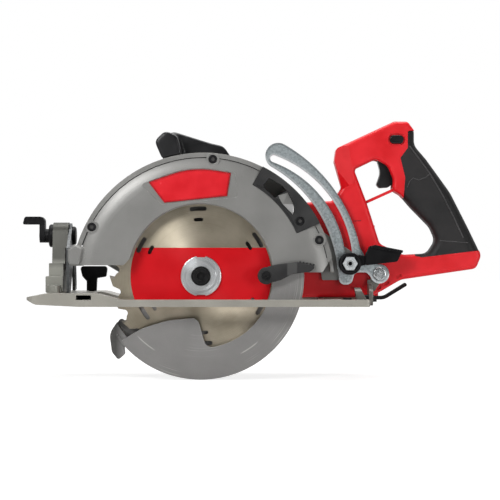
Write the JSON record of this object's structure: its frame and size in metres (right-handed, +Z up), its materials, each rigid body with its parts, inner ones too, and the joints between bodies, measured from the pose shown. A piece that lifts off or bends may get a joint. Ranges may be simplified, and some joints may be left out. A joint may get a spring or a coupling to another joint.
{
  "type": "circular saw",
  "caption": "Cordless rear handle circular saw with a round cast guard, sprung lower guard, tilting shoe, curved depth arm and a D shaped handle with a soft grip.",
  "frame": {"origin": "on the sole of the shoe, straight below the arbor", "axes": "+X to the rear handle, +Y to the motor side, +Z up; the blade is on the -Y side"},
  "size_m": [0.4661, 0.168, 0.2607],
  "materials": {
    "casting_grey": "satin powder coat",
    "plastic_red": "fine grain",
    "badge_red": "gloss, plain",
    "rubber_black": "soft, matt",
    "plastic_black": "fine grain",
    "plastic_grey": "fine grain",
    "steel_zinc": "zinc plated",
    "steel_black": "black oxide",
    "blade_steel": "ground, with a plain red band",
    "carbide": "ground",
    "steel_bare": "ground",
    "copper": "enamelled",
    "board": "potted"
  },
  "bodies": {
    "base": {"shoe": "casting_grey", "bevel_post": "casting_grey", "rear_bracket": "steel_zinc", "shoe_screws": "steel_black", "bevel_bolt": "steel_black"},
    "bevel_lever": {"bevel_lever": "plastic_black"},
    "fence_knob": {"fence_knob": "plastic_black"},
    "tilt_frame": {"bevel_quadrant": "steel_zinc", "bevel_pins": "steel_zinc", "depth_pivot_pin": "steel_zinc", "rear_trunnion": "steel_zinc", "arm_pin": "steel_zinc"},
    "depth_arm": {"depth_arm": "steel_zinc"},
    "saw_body": {"upper_guard": "casting_grey", "guard_cover": "casting_grey", "cover_screws": "steel_black", "badge_plate": "badge_red", "dust_chute": "plastic_grey", "aux_handle": "plastic_black", "guard_screws": "steel_black", "guard_ring": "steel_black", "guard_spring": "steel_black", "gear_case": "casting_grey", "bearing_plate": "casting_grey", "front_spindle_bearing": "steel_bare", "small_bearings": "steel_bare", "stator": "steel_bare", "stator_coils": "copper", "motor_housing": "plastic_red", "motor_screws": "steel_black", "handle_left": "plastic_red", "handle_right": "plastic_red", "grip_left": "rubber_black", "grip_right": "rubber_black", "handle_screws": "steel_black", "trigger_pin": "steel_bare", "switch": "plastic_black", "control_board": "board", "terminal_block": "plastic_black", "contacts": "steel_zinc", "depth_bolt": "steel_zinc", "hook_screw": "steel_black"},
    "depth_lever": {"depth_lever": "plastic_black", "depth_nut": "steel_zinc"},
    "lower_guard": {"lower_guard": "casting_grey", "guard_lever": "plastic_grey", "guard_lever_screw": "steel_black"},
    "blade_set": {"blade": "blade_steel", "carbide_tips": "carbide", "outer_flange": "steel_zinc", "arbor_bolt": "steel_black", "inner_flange": "steel_zinc", "spindle": "steel_bare", "drive_gear": "steel_bare"},
    "rotor_set": {"rotor": "steel_bare", "pinion": "steel_bare", "fan": "plastic_black"},
    "trigger": {"trigger": "plastic_black"},
    "lock_button": {"lock_button": "plastic_black"},
    "rafter_hook": {"rafter_hook": "steel_black"}
  },
  "joints": [
    {"name": "bevel", "type": "hinge", "parent": "base", "child": "tilt_frame", "pos_m": [0, -0.044, 0.008], "axis": [1, 0, 0], "range_deg": [0, 50]},
    {"name": "depth", "type": "hinge", "parent": "tilt_frame", "child": "saw_body", "pos_m": [-0.1205, 0, 0.05], "axis": [0, -1, 0], "range_deg": [0, 29.5]},
    {"name": "arm", "type": "hinge", "parent": "tilt_frame", "child": "depth_arm", "pos_m": [0.1805, 0, 0.032], "axis": [0, -1, 0], "range_deg": [-19.68, 0.5]},
    {"name": "depth_clamp", "type": "hinge", "parent": "saw_body", "child": "depth_lever", "pos_m": [0.15, 0, 0.0425], "axis": [0, -1, 0], "range_deg": [0, 55]},
    {"name": "bevel_clamp", "type": "hinge", "parent": "base", "child": "bevel_lever", "pos_m": [-0.1549, -0.01067, 0.07069], "axis": [1, 0, 0], "range_deg": [0, 70]},
    {"name": "fence_clamp", "type": "hinge", "parent": "base", "child": "fence_knob", "pos_m": [-0.115, 0.025, 0.025], "axis": [0, 0, 1], "continuous": true},
    {"name": "guard_swing", "type": "hinge", "parent": "saw_body", "child": "lower_guard", "pos_m": [0, -0.038, 0.03], "axis": [0, -1, 0], "range_deg": [0, 125], "stiffness_Nm_per_rad": 0.12, "springref_deg": -80.21},
    {"name": "blade_spin", "type": "hinge", "parent": "saw_body", "child": "blade_set", "pos_m": [0, -0.038, 0.03], "axis": [0, -1, 0], "continuous": true},
    {"name": "rotor_spin", "type": "hinge", "parent": "saw_body", "child": "rotor_set", "pos_m": [0.02155, 0, 0.0494], "axis": [0, -1, 0], "continuous": true},
    {"name": "trigger_pull", "type": "hinge", "parent": "saw_body", "child": "trigger", "pos_m": [0.189, 0, 0.1515], "axis": [0, -1, 0], "range_deg": [0, 10], "stiffness_Nm_per_rad": 0.25, "springref_deg": -11.46},
    {"name": "lock_off", "type": "slide", "parent": "saw_body", "child": "lock_button", "axis": [0, 1, 0], "range_m": [-0.003, 0.003], "stiffness_N_per_m": 300},
    {"name": "hook_swing", "type": "hinge", "parent": "saw_body", "child": "rafter_hook", "pos_m": [0.1764, 0.032, 0.0047], "axis": [0, 0, 1], "range_deg": [0, 90]}
  ],
  "couplings": [
    {"joint": "arm", "follows": "depth", "ratio": -0.65},
    {"joint": "rotor_spin", "follows": "blade_spin", "ratio": -4.2727}
  ]
}
